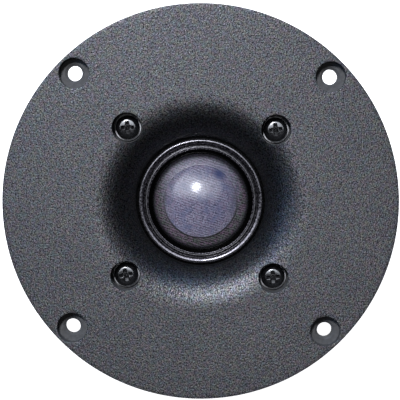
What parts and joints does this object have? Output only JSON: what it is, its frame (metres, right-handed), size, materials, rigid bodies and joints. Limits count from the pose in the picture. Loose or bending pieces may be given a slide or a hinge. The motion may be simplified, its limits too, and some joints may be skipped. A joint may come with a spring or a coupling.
{
  "type": "dome tweeter",
  "caption": "Soft-dome tweeter on a round flange with a shallow waveguide, with a ferrite motor, a vented pole, a rear chamber and blade terminals.",
  "frame": {"origin": "centre of the rear chamber's bottom face, on the dome's axis", "axes": "+Z along the dome's axis, towards the listener; -Y towards the terminals"},
  "size_m": [0.132, 0.132, 0.058],
  "materials": {
    "plate_finish": "satin",
    "gasket_foam": "matte",
    "black_screw": "gloss",
    "washer_steel": "satin",
    "trim_gloss": "gloss",
    "dome_fabric": "satin",
    "former_foil": "satin",
    "coil_wire": "gloss",
    "carrier_plastic": "matte",
    "motor_steel": "satin",
    "ferrite": "matte",
    "copper": "polished",
    "felt": "matte",
    "chamber_plastic": "matte",
    "zinc_screw": "satin",
    "holder_plastic": "satin",
    "tinned_brass": "satin",
    "tinsel": "satin",
    "solder": "gloss"
  },
  "bodies": {
    "chassis": {"face_plate": "plate_finish", "mounting_gasket": "gasket_foam", "face_plate_screws": "black_screw", "screw_washers": "washer_steel", "trim_ring": "trim_gloss", "surround": "dome_fabric", "diaphragm_carrier": "carrier_plastic", "locating_pins": "zinc_screw", "top_plate": "motor_steel", "magnet": "ferrite", "pole_yoke": "motor_steel", "copper_cap": "copper", "pole_damping_pad": "felt", "vent_plug": "felt", "rear_chamber": "chamber_plastic", "rear_chamber_gasket": "gasket_foam", "rear_chamber_screws": "zinc_screw", "rear_chamber_felt": "felt", "terminal_holder": "holder_plastic", "terminal_holder_screw": "zinc_screw", "terminal_positive": "tinned_brass", "terminal_negative": "tinned_brass", "lead_positive": "tinsel", "lead_negative": "tinsel", "solder_joints": "solder"},
    "diaphragm": {"dome": "dome_fabric", "voice_coil_former": "former_foil", "voice_coil_winding": "coil_wire"}
  },
  "joints": [
    {"name": "dome_travel", "type": "slide", "parent": "chassis", "child": "diaphragm", "axis": [0, 0, 1], "range_m": [-0.0005, 0.0005], "stiffness_N_per_m": 150, "deforming": ["surround", "lead_positive", "lead_negative"]}
  ]
}
